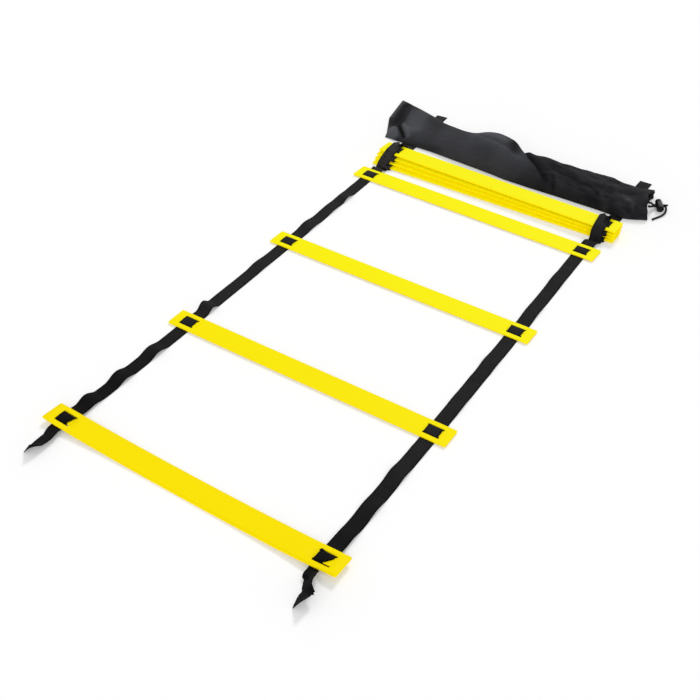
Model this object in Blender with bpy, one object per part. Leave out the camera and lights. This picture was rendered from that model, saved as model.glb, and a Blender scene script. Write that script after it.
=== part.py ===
import math

import bmesh
import bpy
from mathutils import Matrix, Vector

# Agility ladder with four rungs laid out, four rungs in a folded stack, and its carry bag.
# Metres, +Z up, +X along the rungs, +Y along the ladder from the laid-out end to the stack.

# Slats
RUNG_LENGTH = 0.430
RUNG_WIDTH = 0.032
RUNG_THICKNESS = 0.0021
RUNG_CORNER_RADIUS = 0.0022
RUNG_EDGE_ROUNDING = 0.0004
SLOT_LENGTH = 0.0226
SLOT_WIDTH = 0.0024
SLOT_CORNER_RADIUS = 0.0008
SLOT_INSET = 0.0132
MIDDLE_BAR = 0.0126

# Webbing
WEB_WIDTH = 0.0200
WEB_THICKNESS = 0.0010
WEB_BEND_RADIUS = 0.0011
TOUCH_GAP = 0.0003

# Layout of the four open rungs
BAY_LENGTH = 0.2276
LAY_DRIFT = 0.0070
RUNG_DRIFT_SHARES = ((1.32, -0.6), (1.0, -0.35), (0.45, -0.15), (-0.2, 0.0))
RUNG_YAW_DEG = (0.4, 0.7, -0.2, -1.4)

# Folded stack
STACK_RUNGS = 4
STACK_OFFSET = 0.0557
STACK_SIDE_DRIFT = 0.0038
STACK_STAGGER = 0.0040
STACK_YAW_DEG = -0.9
STACK_FAN_DEG = 2.2
LOOP_REACH = 0.0021
SHOULDER_RADIUS = 0.0030
FOOT_LEAD = 0.0020
BACK_LEAD = 0.0060

# Loose ends of the webbing
NEAR_TAIL_LENGTH = 0.0508
NEAR_TAIL_TWIST_DEG = (22.0, 46.0)
NEAR_TAIL_DRIFT = (0.0010, 0.0090)
FAR_TAIL_LENGTH = 0.1550
FAR_TAIL_DRIFT = (-0.0115, 0.0015)

# Carry bag, lying flat with its closed end to the left
BAG_LENGTH = 0.485
BAG_FLAT_WIDTH = 0.140
BAG_HEIGHT = 0.035
BAG_CENTRE = (-0.0225, 0.1420)
BAG_HEM_WIDTH = 0.013
BAG_HEM_SWELL = 0.0012
# Each row: place along the bag, near edge, far edge, height, slant of the section
BAG_SECTION_SHARES = (
    (0.000, -0.495, 0.485, 0.14, -0.36),
    (0.050, -0.498, 0.404, 0.26, -0.30),
    (0.130, -0.502, 0.288, 0.34, -0.20),
    (0.220, -0.499, 0.150, 0.43, -0.10),
    (0.320, -0.518, 0.100, 0.57, 0.00),
    (0.420, -0.544, 0.125, 1.00, 0.00),
    (0.500, -0.565, 0.057, 0.94, 0.00),
    (0.560, -0.584, 0.005, 0.69, 0.00),
    (0.630, -0.590, 0.030, 0.63, 0.00),
    (0.750, -0.586, 0.018, 0.64, -0.02),
    (0.870, -0.589, 0.022, 0.64, -0.08),
    (0.940, -0.600, 0.012, 0.61, -0.14),
    (0.972, -0.554, 0.022, 0.60, -0.18),
    (1.000, -0.484, 0.050, 0.57, -0.20),
)
BAG_TOP_POINTS = 14
BAG_FLOOR_POINTS = 6
BAG_TOP_FULLNESS = 0.80

# Drawcord and its lock
CORD_DIAMETER = 0.0032
CORD_SPACING = 0.0037
LOCK_CENTRE = (0.2412, 0.1742)
LOCK_AXIS_DEG = 119.0
LOCK_BARREL_DIAMETER = 0.0116
LOCK_BARREL_BELOW = 0.0105
LOCK_BARREL_ABOVE = 0.0068
LOCK_BORE_DIAMETER = 0.0088
LOCK_BORE_FLOOR = 0.0010
LOCK_RIM_CHAMFER = 0.0006
LOCK_STEM_CLEARANCE = 0.0003
LOCK_STEM_WEB = 0.0010
LOCK_TRAVEL = 0.0025
LOCK_CAP_DIAMETER = 0.0100
LOCK_CAP_HEIGHT = 0.0036
LOCK_GRIP_GROOVE = 0.0004
CORD_CLEARANCE = 0.0003
SPRING_DIAMETER = 0.0072
SPRING_WIRE = 0.0007
SPRING_TURNS = 2.5
CORD_OUTLET_SPREAD = 0.0055
CORD_OUTLET_BACK = 0.0135
CORD_OUTLET_HEIGHT = 0.0105
CORD_STUB = 0.0045
CORD_SLACK = 0.0028
# Loop beyond the lock, as offsets from the lock's centre, down to the cord's cut end
CORD_LOOP_ROUTE = (
    (0.0104, 0.0010),
    (0.0126, -0.0040),
    (0.0136, -0.0095),
    (0.0128, -0.0160),
    (0.0104, -0.0230),
    (0.0070, -0.0300),
    (0.0036, -0.0375),
)

RING_SIDES = 20
BEND_STEPS = 4
CORNER_STEPS = 5
TWIST_STEPS = 7
OVERRUN = 0.0010

SLOT_CENTRE = RUNG_LENGTH / 2 - SLOT_INSET - SLOT_LENGTH / 2
SLOT_OFFSET = (MIDDLE_BAR + SLOT_WIDTH) / 2
RUNG_FLOOR = WEB_THICKNESS + TOUCH_GAP
STACK_PITCH = RUNG_THICKNESS + 2 * WEB_THICKNESS + 3 * TOUCH_GAP
OVER_RUN = RUNG_THICKNESS + TOUCH_GAP + WEB_THICKNESS / 2
UNDER_RUN = -TOUCH_GAP - WEB_THICKNESS / 2
OPEN_RUNGS = len(RUNG_DRIFT_SHARES)
LAST_RUNG_Y = BAY_LENGTH * (OPEN_RUNGS - 1)
SIDES = (("left", -1), ("right", 1))


def clear_scene():
    for item in list(bpy.data.objects):
        bpy.data.objects.remove(item, do_unlink=True)


def make_material(name, colour, roughness, metallic=0.0):
    material = bpy.data.materials.new(name)
    material.use_nodes = True
    shader = material.node_tree.nodes["Principled BSDF"]
    shader.inputs["Base Color"].default_value = (*colour, 1.0)
    shader.inputs["Roughness"].default_value = roughness
    shader.inputs["Metallic"].default_value = metallic
    material.diffuse_color = (*colour, 1.0)
    return material


def make_object(name, mesh, material, parent, pivot, smooth=True):
    item = bpy.data.objects.new(name, mesh)
    bpy.context.collection.objects.link(item)
    item.parent = parent
    item.location = pivot
    if not mesh.materials:
        mesh.materials.append(material)
    if smooth:
        mesh.shade_smooth()
        mesh.set_sharp_from_angle(angle=math.radians(35))
    return item


def finish_mesh(name, bm, pivot=(0, 0, 0)):
    bmesh.ops.recalc_face_normals(bm, faces=bm.faces[:])
    mesh = bpy.data.meshes.new(name)
    bm.to_mesh(mesh)
    bm.free()
    mesh.transform(Matrix.Translation(-Vector(pivot)))
    return mesh


def make_empty(name, parent, place):
    item = bpy.data.objects.new(name, None)
    bpy.context.collection.objects.link(item)
    item.parent = parent
    item.location = place
    return item


# Slat: a plate with rounded corners, softened edges and two slots at each end
def rounded_rectangle(centre, half_x, half_y, radius):
    points = []
    corners = ((1, 1, 0), (-1, 1, 90), (-1, -1, 180), (1, -1, 270))
    for side_x, side_y, start in corners:
        for step in range(CORNER_STEPS + 1):
            angle = math.radians(start + 90 * step / CORNER_STEPS)
            points.append((
                centre[0] + side_x * (half_x - radius) + radius * math.cos(angle),
                centre[1] + side_y * (half_y - radius) + radius * math.sin(angle),
            ))
    return points


def add_ring_wall(bm, rings):
    loops = [[bm.verts.new(point) for point in ring] for ring in rings]
    for lower, upper in zip(loops, loops[1:]):
        for index in range(len(lower)):
            following = (index + 1) % len(lower)
            bm.faces.new((lower[index], lower[following], upper[following], upper[index]))
    return loops


def wall_rings(centre, half_x, half_y, radius, rounding, sign):
    rings = []
    heights = (0, RUNG_EDGE_ROUNDING, RUNG_THICKNESS - RUNG_EDGE_ROUNDING, RUNG_THICKNESS)
    for height, inset in zip(heights, (rounding, 0, 0, rounding)):
        outline = rounded_rectangle(centre, half_x - sign * inset, half_y - sign * inset, radius - sign * inset)
        rings.append([(x, y, height) for x, y in outline])
    return rings


def make_slat_mesh():
    bm = bmesh.new()
    loops = [add_ring_wall(bm, wall_rings(
        (0, 0), RUNG_LENGTH / 2, RUNG_WIDTH / 2, RUNG_CORNER_RADIUS, RUNG_EDGE_ROUNDING, 1))]
    for side_x in (-1, 1):
        for side_y in (-1, 1):
            centre = (side_x * SLOT_CENTRE, side_y * SLOT_OFFSET)
            loops.append(add_ring_wall(bm, wall_rings(
                centre, SLOT_LENGTH / 2, SLOT_WIDTH / 2, SLOT_CORNER_RADIUS, RUNG_EDGE_ROUNDING, -1)))
    for level in (0, -1):
        rim = []
        for loop in loops:
            ring = loop[level]
            for index in range(len(ring)):
                rim.append(bm.edges.get((ring[index], ring[(index + 1) % len(ring)])))
        bmesh.ops.triangle_fill(bm, edges=rim, use_beauty=True)
    return finish_mesh("slat", bm)


# Webbing: a flat band swept along a route
def bend_route(corners, radii):
    route = [Vector(corners[0])]
    for index in range(1, len(corners) - 1):
        before = Vector(corners[index - 1])
        corner = Vector(corners[index])
        after = Vector(corners[index + 1])
        entering = (corner - before).normalized()
        leaving = (after - corner).normalized()
        turn = entering.angle_signed(leaving, 0.0)
        if abs(turn) < math.radians(1):
            continue
        radius = radii[index]
        cut = radius * math.tan(abs(turn) / 2)
        first = corner - entering * cut
        steps = max(2, round(BEND_STEPS * abs(turn) / math.radians(90)))
        centre = first + Vector((-entering.y, entering.x)) * radius * (1 if turn < 0 else -1)
        for step in range(steps + 1):
            spin = Matrix.Rotation(-turn * step / steps, 2)
            route.append(centre + spin @ (first - centre))
    route.append(Vector(corners[-1]))
    return route


def route_stations(route, frame, across_x):
    stations = []
    for index, point in enumerate(route):
        before = route[max(index - 1, 0)]
        after = route[min(index + 1, len(route) - 1)]
        incoming = (point - before).normalized() if index > 0 else (after - point).normalized()
        outgoing = (after - point).normalized() if index < len(route) - 1 else incoming
        along = (incoming + outgoing).normalized()
        stretch = 1 / max(0.5, along.dot(incoming))
        centre = frame @ Vector((across_x, point.x, point.y))
        across = frame.to_3x3() @ Vector((1, 0, 0))
        normal = frame.to_3x3() @ Vector((0, -along.y, along.x)) * stretch
        stations.append((centre, across, normal))
    return stations


def flat_station(x, y, yaw_deg=0.0, twist_deg=0.0):
    twist = math.radians(twist_deg)
    turned = Matrix.Rotation(math.radians(yaw_deg), 3, "Z")
    across = turned @ Vector((math.cos(twist), 0, math.sin(twist)))
    normal = turned @ Vector((-math.sin(twist), 0, math.cos(twist)))
    lift = abs(math.sin(twist)) * WEB_WIDTH / 2 + abs(math.cos(twist)) * WEB_THICKNESS / 2
    return Vector((x, y, lift)), across, normal


def make_webbing_mesh(name, stations, pivot=(0, 0, 0)):
    bm = bmesh.new()
    rings = []
    for centre, across, normal in stations:
        half_width = across * WEB_WIDTH / 2
        half_thickness = normal * WEB_THICKNESS / 2
        corners = (
            centre - half_width - half_thickness,
            centre + half_width - half_thickness,
            centre + half_width + half_thickness,
            centre - half_width + half_thickness,
        )
        rings.append([bm.verts.new(corner) for corner in corners])
    for ring, following in zip(rings, rings[1:]):
        for index in range(4):
            other = (index + 1) % 4
            bm.faces.new((ring[index], ring[other], following[other], following[index]))
    bm.faces.new(rings[0])
    bm.faces.new(list(reversed(rings[-1])))
    return finish_mesh(name, bm, pivot)


# Places of the open rungs, the creases between them and the stack
def rung_place(number):
    drift_x, drift_y = RUNG_DRIFT_SHARES[number]
    return Vector((drift_x * LAY_DRIFT, number * BAY_LENGTH + drift_y * LAY_DRIFT, RUNG_FLOOR))


def rung_frame(number):
    turn = Matrix.Rotation(math.radians(RUNG_YAW_DEG[number]), 4, "Z")
    return Matrix.Translation(rung_place(number)) @ turn


def stack_frame():
    place = Vector((STACK_SIDE_DRIFT, LAST_RUNG_Y + STACK_OFFSET, RUNG_FLOOR))
    return Matrix.Translation(place) @ Matrix.Rotation(math.radians(STACK_YAW_DEG), 4, "Z")


def strap_x_at_rung(number, side):
    return (rung_frame(number) @ Vector((side * SLOT_CENTRE, 0, 0))).x


def crease_x(number, side):
    return (strap_x_at_rung(number, side) + strap_x_at_rung(number + 1, side)) / 2


def crease_y(number):
    return (number + 0.5) * BAY_LENGTH


def weave_corners(middle, level, direction):
    under = level + UNDER_RUN
    over = level + OVER_RUN
    near = middle - direction * SLOT_OFFSET
    far = middle + direction * SLOT_OFFSET
    return [(near, under), (near, over), (far, over), (far, under)]


def weave_stations(number, side):
    reach = RUNG_WIDTH / 2 + WEB_THICKNESS
    corners = [(-reach, UNDER_RUN)] + weave_corners(0, 0, 1) + [(reach, UNDER_RUN)]
    route = bend_route(corners, [WEB_BEND_RADIUS] * len(corners))
    return route_stations(route, rung_frame(number), side * SLOT_CENTRE)


def near_tail_stations(side):
    index = 0 if side < 0 else 1
    frame = rung_frame(0)
    start = frame @ Vector((side * SLOT_CENTRE, -RUNG_WIDTH / 2 - 2 * WEB_THICKNESS, 0))
    stations = []
    for step in range(TWIST_STEPS, 0, -1):
        share = step / TWIST_STEPS
        twist = NEAR_TAIL_TWIST_DEG[index] * math.sin(math.pi * share ** 0.8)
        stations.append(flat_station(
            start.x + NEAR_TAIL_DRIFT[index] * share,
            start.y - NEAR_TAIL_LENGTH * share,
            0.0,
            twist,
        ))
    return stations


def open_strap_stations(number, side):
    stations = []
    if number == 0:
        stations += near_tail_stations(side)
    else:
        stations.append(flat_station(crease_x(number - 1, side), crease_y(number - 1) + TOUCH_GAP / 2))
    stations += weave_stations(number, side)
    if number < OPEN_RUNGS - 1:
        stations.append(flat_station(crease_x(number, side), crease_y(number) - TOUCH_GAP / 2))
    else:
        foot = stack_frame() @ Vector((side * SLOT_CENTRE, fold_start_y(side) - TOUCH_GAP, 0))
        stations.append(flat_station(foot.x, foot.y, STACK_YAW_DEG))
    return stations


# Folded webbing: up the front of the stack, over its top, then to and fro through each rung
def stack_level(layer):
    return layer * STACK_PITCH


# The slats of the stack fan out a little, so the stagger differs from strap to strap
def stack_turn(layer):
    return math.radians(STACK_FAN_DEG) * (0.5 - layer / (STACK_RUNGS - 1))


def stack_middle(layer, side=0):
    return layer * STACK_STAGGER + side * SLOT_CENTRE * math.tan(stack_turn(layer))


def near_loop_centre(layer, side):
    radius = STACK_PITCH / 2
    edge = stack_middle(layer, side) - RUNG_WIDTH / 2 - LOOP_REACH
    return Vector((edge + radius, stack_level(layer) + UNDER_RUN + radius))


def front_run_corner(height, side):
    low = near_loop_centre(0, side)
    high = near_loop_centre(STACK_RUNGS - 2, side)
    along = (high - low).normalized()
    clear = STACK_PITCH / 2 + WEB_THICKNESS + TOUCH_GAP
    start = low + Vector((-along.y, along.x)) * clear
    return start + along * ((height - start.y) / along.y)


def fold_start_y(side):
    return front_run_corner(UNDER_RUN, side).x - FOOT_LEAD


def fold_end_y(side):
    return stack_middle(STACK_RUNGS - 1, side) + RUNG_WIDTH / 2 + BACK_LEAD


def fold_stations(side):
    loop_radius = STACK_PITCH / 2
    foot = front_run_corner(UNDER_RUN, side)
    top_level = stack_level(STACK_RUNGS - 1) + UNDER_RUN + STACK_PITCH
    shoulder = front_run_corner(top_level, side)
    corners = [(foot.x - FOOT_LEAD, foot.y), tuple(foot), tuple(shoulder)]
    radii = [0, WEB_BEND_RADIUS, SHOULDER_RADIUS]
    direction = -1
    level_above = top_level
    for layer in reversed(range(STACK_RUNGS)):
        middle = stack_middle(layer, side)
        turn_y = middle - direction * (RUNG_WIDTH / 2 + LOOP_REACH)
        level = stack_level(layer) + UNDER_RUN
        corners += [(turn_y, level_above), (turn_y, level)]
        radii += [loop_radius, loop_radius]
        corners += weave_corners(middle, stack_level(layer), direction)
        radii += [WEB_BEND_RADIUS] * 4
        level_above = level
        direction = -direction
    corners.append((fold_end_y(side), UNDER_RUN))
    radii.append(0)
    return route_stations(bend_route(corners, radii), stack_frame(), side * SLOT_CENTRE)


def far_tail_stations(side):
    index = 0 if side < 0 else 1
    start = stack_frame() @ Vector((side * SLOT_CENTRE, fold_end_y(side) + TOUCH_GAP, 0))
    heading = -math.degrees(math.atan2(FAR_TAIL_DRIFT[index], FAR_TAIL_LENGTH))
    first = flat_station(start.x, start.y, STACK_YAW_DEG)
    end = flat_station(start.x + FAR_TAIL_DRIFT[index], start.y + FAR_TAIL_LENGTH, heading)
    return [first, end]


# Carry bag: sections lofted from the closed end to the drawn mouth
def bag_section(row, swell=0.0):
    along, near, far, height, slant = row
    middle_x = BAG_CENTRE[0] + (along - 0.5) * BAG_LENGTH
    middle_y = LAST_RUNG_Y + STACK_OFFSET + BAG_CENTRE[1]
    near_y = middle_y + near * BAG_FLAT_WIDTH - swell
    far_y = middle_y + far * BAG_FLAT_WIDTH + swell
    crest = height * BAG_HEIGHT + swell
    half = (far_y - near_y) / 2
    points = []
    for step in range(BAG_TOP_POINTS + 1):
        angle = math.pi * step / BAG_TOP_POINTS
        lean = math.copysign(abs(math.cos(angle)) ** BAG_TOP_FULLNESS, math.cos(angle))
        rise = math.sin(angle) ** BAG_TOP_FULLNESS
        points.append(((near_y + far_y) / 2 + half * lean, crest * rise))
    for step in range(1, BAG_FLOOR_POINTS):
        points.append((near_y + (far_y - near_y) * step / BAG_FLOOR_POINTS, 0))
    return [Vector((middle_x + slant * (y - middle_y), y, RUNG_FLOOR + z)) for y, z in points]


def make_loft_mesh(name, sections, pivot):
    bm = bmesh.new()
    rings = [[bm.verts.new(point) for point in section] for section in sections]
    for ring, following in zip(rings, rings[1:]):
        for index in range(len(ring)):
            other = (index + 1) % len(ring)
            bm.faces.new((ring[index], ring[other], following[other], following[index]))
    bm.faces.new(rings[0])
    bm.faces.new(list(reversed(rings[-1])))
    return finish_mesh(name, bm, pivot)


def mouth_row(back):
    share = 1 - back / BAG_LENGTH
    last = BAG_SECTION_SHARES[-1]
    before = BAG_SECTION_SHARES[-2]
    mix = (share - before[0]) / (last[0] - before[0])
    return (share,) + tuple(a + (b - a) * mix for a, b in zip(before[1:], last[1:]))


def make_bag(parent, pivot, material):
    shell_rows = BAG_SECTION_SHARES[:-1] + (mouth_row(BAG_HEM_WIDTH + TOUCH_GAP),)
    shell = make_loft_mesh("bag_shell", [bag_section(row) for row in shell_rows], pivot)
    make_object("bag_shell", shell, material, parent, (0, 0, 0))
    hem_rows = (mouth_row(BAG_HEM_WIDTH), mouth_row(BAG_HEM_WIDTH / 2), mouth_row(0))
    hem_swells = (0, BAG_HEM_SWELL, 0)
    sections = [bag_section(row, swell) for row, swell in zip(hem_rows, hem_swells)]
    hem = make_loft_mesh("bag_hem", sections, pivot)
    make_object("bag_hem", hem, material, parent, (0, 0, 0))


# Cord lock: a bored barrel with a cross channel, a sprung button with a matching slot
def lock_frame():
    centre = Vector((LOCK_CENTRE[0], LAST_RUNG_Y + LOCK_CENTRE[1], LOCK_BARREL_DIAMETER / 2))
    axis_turn = Matrix.Rotation(math.radians(LOCK_AXIS_DEG), 4, "Z")
    return Matrix.Translation(centre) @ axis_turn @ Matrix.Rotation(math.radians(90), 4, "Y")


def turned_mesh(name, profile, closed_tip=False):
    bm = bmesh.new()
    rings = []
    for radius, height in profile:
        if radius == 0:
            rings.append([bm.verts.new((0, 0, height))])
            continue
        ring = []
        for step in range(RING_SIDES):
            angle = 2 * math.pi * step / RING_SIDES
            ring.append(bm.verts.new((radius * math.cos(angle), radius * math.sin(angle), height)))
        rings.append(ring)
    for ring, following in zip(rings, rings[1:]):
        for index in range(RING_SIDES):
            other = (index + 1) % RING_SIDES
            if len(ring) == 1:
                bm.faces.new((ring[0], following[index], following[other]))
            elif len(following) == 1:
                bm.faces.new((ring[index], following[0], ring[other]))
            else:
                bm.faces.new((ring[index], ring[other], following[other], following[index]))
    return finish_mesh(name, bm)


def make_cutter(name, size, place, parent):
    bm = bmesh.new()
    bmesh.ops.create_cube(bm, size=1.0)
    mesh = finish_mesh(name, bm)
    for vertex in mesh.vertices:
        vertex.co = Vector(place) + Vector([vertex.co[i] * size[i] for i in range(3)])
    cutter = bpy.data.objects.new(name, mesh)
    bpy.context.collection.objects.link(cutter)
    cutter.parent = parent
    cutter.display_type = "WIRE"
    cutter.hide_render = True
    return cutter


def cut_with(item, cutter):
    modifier = item.modifiers.new("channel", "BOOLEAN")
    modifier.operation = "DIFFERENCE"
    modifier.solver = "EXACT"
    modifier.object = cutter


def channel_half():
    return (CORD_SPACING + CORD_DIAMETER) / 2 + CORD_CLEARANCE


def make_lock(parent, plastic, steel):
    holder = make_empty("cord_lock", parent, (0, 0, 0))
    holder.matrix_local = lock_frame()
    outer = LOCK_BARREL_DIAMETER / 2
    bore = LOCK_BORE_DIAMETER / 2
    bottom = -LOCK_BARREL_BELOW
    top = LOCK_BARREL_ABOVE
    bore_floor = bottom + LOCK_BORE_FLOOR
    profile = (
        (0, bottom), (outer - LOCK_RIM_CHAMFER, bottom), (outer, bottom + LOCK_RIM_CHAMFER),
        (outer, top - LOCK_RIM_CHAMFER), (outer - LOCK_RIM_CHAMFER, top), (bore, top),
        (bore, bore_floor), (0, bore_floor),
    )
    barrel = make_object("cord_lock_barrel", turned_mesh("cord_lock_barrel", profile), plastic, holder, (0, 0, 0))
    channel_height = CORD_DIAMETER + 2 * CORD_CLEARANCE
    through = LOCK_BARREL_DIAMETER + 2 * OVERRUN
    cut_with(barrel, make_cutter(
        "cut_barrel_channel", (channel_height, through, 2 * channel_half()), (0, 0, 0), holder))

    stem = bore - LOCK_STEM_CLEARANCE
    cap = LOCK_CAP_DIAMETER / 2
    stem_bottom = -channel_half() - LOCK_STEM_WEB
    cap_base = top + LOCK_TRAVEL + TOUCH_GAP
    cap_top = cap_base + LOCK_CAP_HEIGHT
    groove_low = cap_base + LOCK_CAP_HEIGHT / 3
    groove_high = cap_base + 2 * LOCK_CAP_HEIGHT / 3
    profile = (
        (0, stem_bottom), (stem, stem_bottom), (stem, cap_base), (cap, cap_base), (cap, groove_low),
        (cap - LOCK_GRIP_GROOVE, (groove_low + groove_high) / 2), (cap, groove_high),
        (cap, cap_top - LOCK_RIM_CHAMFER), (cap - LOCK_RIM_CHAMFER, cap_top), (0, cap_top),
    )
    button = make_object("cord_lock_button", turned_mesh("cord_lock_button", profile), plastic, holder, (0, 0, 0))
    slot_length = 2 * channel_half() + LOCK_TRAVEL
    cut_with(button, make_cutter(
        "cut_button_slot", (channel_height, through, slot_length), (0, 0, LOCK_TRAVEL / 2), holder))

    low = bore_floor + TOUCH_GAP + SPRING_WIRE / 2
    high = stem_bottom - TOUCH_GAP - SPRING_WIRE / 2
    coil_radius = (SPRING_DIAMETER - SPRING_WIRE) / 2
    steps = int(SPRING_TURNS * 10)
    points = []
    for step in range(steps + 1):
        angle = 2 * math.pi * SPRING_TURNS * step / steps
        height = low + (high - low) * step / steps
        points.append((coil_radius * math.cos(angle), coil_radius * math.sin(angle), height))
    make_tube("cord_lock_spring", points, SPRING_WIRE, 1, steel, holder)


# Drawcord: smooth curves through the lock and round to the cut ends
def smooth_through(points, spacing):
    dense = []
    padded = [points[0] * 2 - points[1]] + points + [points[-1] * 2 - points[-2]]
    for index in range(1, len(padded) - 2):
        before, start, end, after = padded[index - 1:index + 3]
        steps = max(1, round((end - start).length / spacing))
        for step in range(steps):
            share = step / steps
            dense.append(0.5 * (
                2 * start + (end - before) * share
                + (2 * before - 5 * start + 4 * end - after) * share ** 2
                + (3 * start - before - 3 * end + after) * share ** 3))
    dense.append(points[-1])
    return dense


def make_tube(name, points, diameter, resolution, material, parent):
    curve = bpy.data.curves.new(name, "CURVE")
    curve.dimensions = "3D"
    curve.bevel_depth = diameter / 2
    curve.bevel_resolution = resolution
    curve.use_fill_caps = True
    spline = curve.splines.new("POLY")
    spline.points.add(len(points) - 1)
    for target, point in zip(spline.points, points):
        target.co = (*point, 1.0)
    curve.materials.append(material)
    item = bpy.data.objects.new(name, curve)
    bpy.context.collection.objects.link(item)
    item.parent = parent
    return item


def cord_outlet(offset):
    section = bag_section(mouth_row(0))
    face_middle = LAST_RUNG_Y + LOCK_CENTRE[1] - CORD_OUTLET_BACK + offset
    slant = BAG_SECTION_SHARES[-1][4]
    middle_y = LAST_RUNG_Y + STACK_OFFSET + BAG_CENTRE[1]
    edge_x = BAG_CENTRE[0] + BAG_LENGTH / 2 + slant * (face_middle - middle_y)
    out = Vector((1, -slant, 0)).normalized()
    lift = min(CORD_OUTLET_HEIGHT, max(point.z for point in section) / 2)
    start = Vector((edge_x, face_middle, lift)) + out * TOUCH_GAP
    return start, start + out * CORD_DIAMETER


def channel_points(line, along):
    inner = LOCK_BARREL_DIAMETER / 2 + CORD_CLEARANCE
    places = (-inner - CORD_SLACK, -inner, 0, inner, inner + CORD_SLACK)
    return [line + along * place for place in places]


def make_drawcord(parent, pivot, material):
    frame = lock_frame()
    axis = frame.to_3x3() @ Vector((0, 0, 1))
    along = frame.to_3x3() @ Vector((0, -1, 0))
    centre = frame.translation
    radius = CORD_DIAMETER / 2
    origin = Vector(pivot)

    far_start, far_lead = cord_outlet(CORD_OUTLET_SPREAD)
    far_line = centre + axis * CORD_SPACING / 2
    far_points = [far_start, far_lead] + channel_points(far_line, along)
    far_points.append(far_points[-1] + along * CORD_STUB)
    make_tube("drawcord_short", [p - origin for p in smooth_through(far_points, 2 * CORD_DIAMETER)],
              CORD_DIAMETER, 2, material, parent)

    near_start, near_lead = cord_outlet(-CORD_OUTLET_SPREAD)
    near_line = centre - axis * CORD_SPACING / 2
    near_points = [near_start, near_lead] + channel_points(near_line, along)
    for index, (offset_x, offset_y) in enumerate(CORD_LOOP_ROUTE):
        share = (index + 1) / len(CORD_LOOP_ROUTE)
        height = centre.z + (radius - centre.z) * min(1, 1.5 * share)
        near_points.append(Vector((centre.x + offset_x, centre.y + offset_y, height)))
    make_tube("drawcord_long", [p - origin for p in smooth_through(near_points, 1.5 * CORD_DIAMETER)],
              CORD_DIAMETER, 2, material, parent)


# Moves the whole layout so that the middle of its footprint is the origin
def centre_layout(layout, left_out):
    bpy.context.view_layer.update()
    graph = bpy.context.evaluated_depsgraph_get()
    low = Vector((math.inf, math.inf, 0))
    high = Vector((-math.inf, -math.inf, 0))
    for item in bpy.data.objects:
        if item.type != "MESH" or item.hide_render or item.name.startswith(left_out):
            continue
        shape = item.evaluated_get(graph)
        for corner in shape.bound_box:
            place = item.matrix_world @ Vector(corner)
            for axis in range(2):
                low[axis] = min(low[axis], place[axis])
                high[axis] = max(high[axis], place[axis])
    layout.location = -(low + high) / 2


def build():
    clear_scene()
    yellow = make_material("yellow_plastic", (0.93, 0.80, 0.005), 0.42)
    webbing = make_material("black_webbing", (0.018, 0.018, 0.019), 0.75)
    cloth = make_material("bag_cloth", (0.020, 0.021, 0.025), 0.55)
    rope = make_material("black_cord", (0.012, 0.012, 0.013), 0.8)
    plastic = make_material("black_plastic", (0.010, 0.010, 0.011), 0.35)
    steel = make_material("spring_steel", (0.55, 0.56, 0.57), 0.3, 1.0)

    layout = make_empty("layout", None, (0, 0, 0))
    slat = make_slat_mesh()

    parent = layout
    parent_place = Vector((0, 0, 0))
    for number in reversed(range(OPEN_RUNGS)):
        if number < OPEN_RUNGS - 1:
            folds_up = (OPEN_RUNGS - 2 - number) % 2 == 0
            pivot = Vector((0, crease_y(number), WEB_THICKNESS if folds_up else 0))
            parent = make_empty(f"fold_{number + 1}", parent, pivot - parent_place)
            parent_place = pivot
        for side_name, side in SIDES:
            name = f"strap_{side_name}_{number + 1}"
            mesh = make_webbing_mesh(name, open_strap_stations(number, side), parent_place)
            make_object(name, mesh, webbing, parent, (0, 0, 0))
        rung = make_object(f"rung_{number + 1}", slat, yellow, parent, (0, 0, 0))
        rung.matrix_local = Matrix.Translation(-parent_place) @ rung_frame(number)

    for layer in range(STACK_RUNGS):
        name = f"rung_{OPEN_RUNGS + STACK_RUNGS - layer}"
        rung = make_object(name, slat, yellow, layout, (0, 0, 0))
        shift = Vector((0, stack_middle(layer), stack_level(layer)))
        turn = Matrix.Rotation(stack_turn(layer), 4, "Z")
        rung.matrix_local = stack_frame() @ Matrix.Translation(shift) @ turn
    for side_name, side in SIDES:
        fold = make_webbing_mesh(f"strap_{side_name}_fold", fold_stations(side))
        make_object(f"strap_{side_name}_fold", fold, webbing, layout, (0, 0, 0))
        tail = make_webbing_mesh(f"strap_{side_name}_tail", far_tail_stations(side))
        make_object(f"strap_{side_name}_tail", tail, webbing, layout, (0, 0, 0))

    bag_pivot = Vector((BAG_CENTRE[0], LAST_RUNG_Y + STACK_OFFSET + BAG_CENTRE[1], RUNG_FLOOR))
    bag = make_empty("carry_bag", layout, bag_pivot)
    make_bag(bag, bag_pivot, cloth)
    make_drawcord(bag, bag_pivot, rope)
    lock_parent = make_empty("lock_place", bag, -bag_pivot)
    make_lock(lock_parent, plastic, steel)
    centre_layout(layout, ("cord_lock", "drawcord"))


build()
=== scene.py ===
from math import atan2, copysign, cos, exp, hypot, pi, radians, sin, tan

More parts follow.
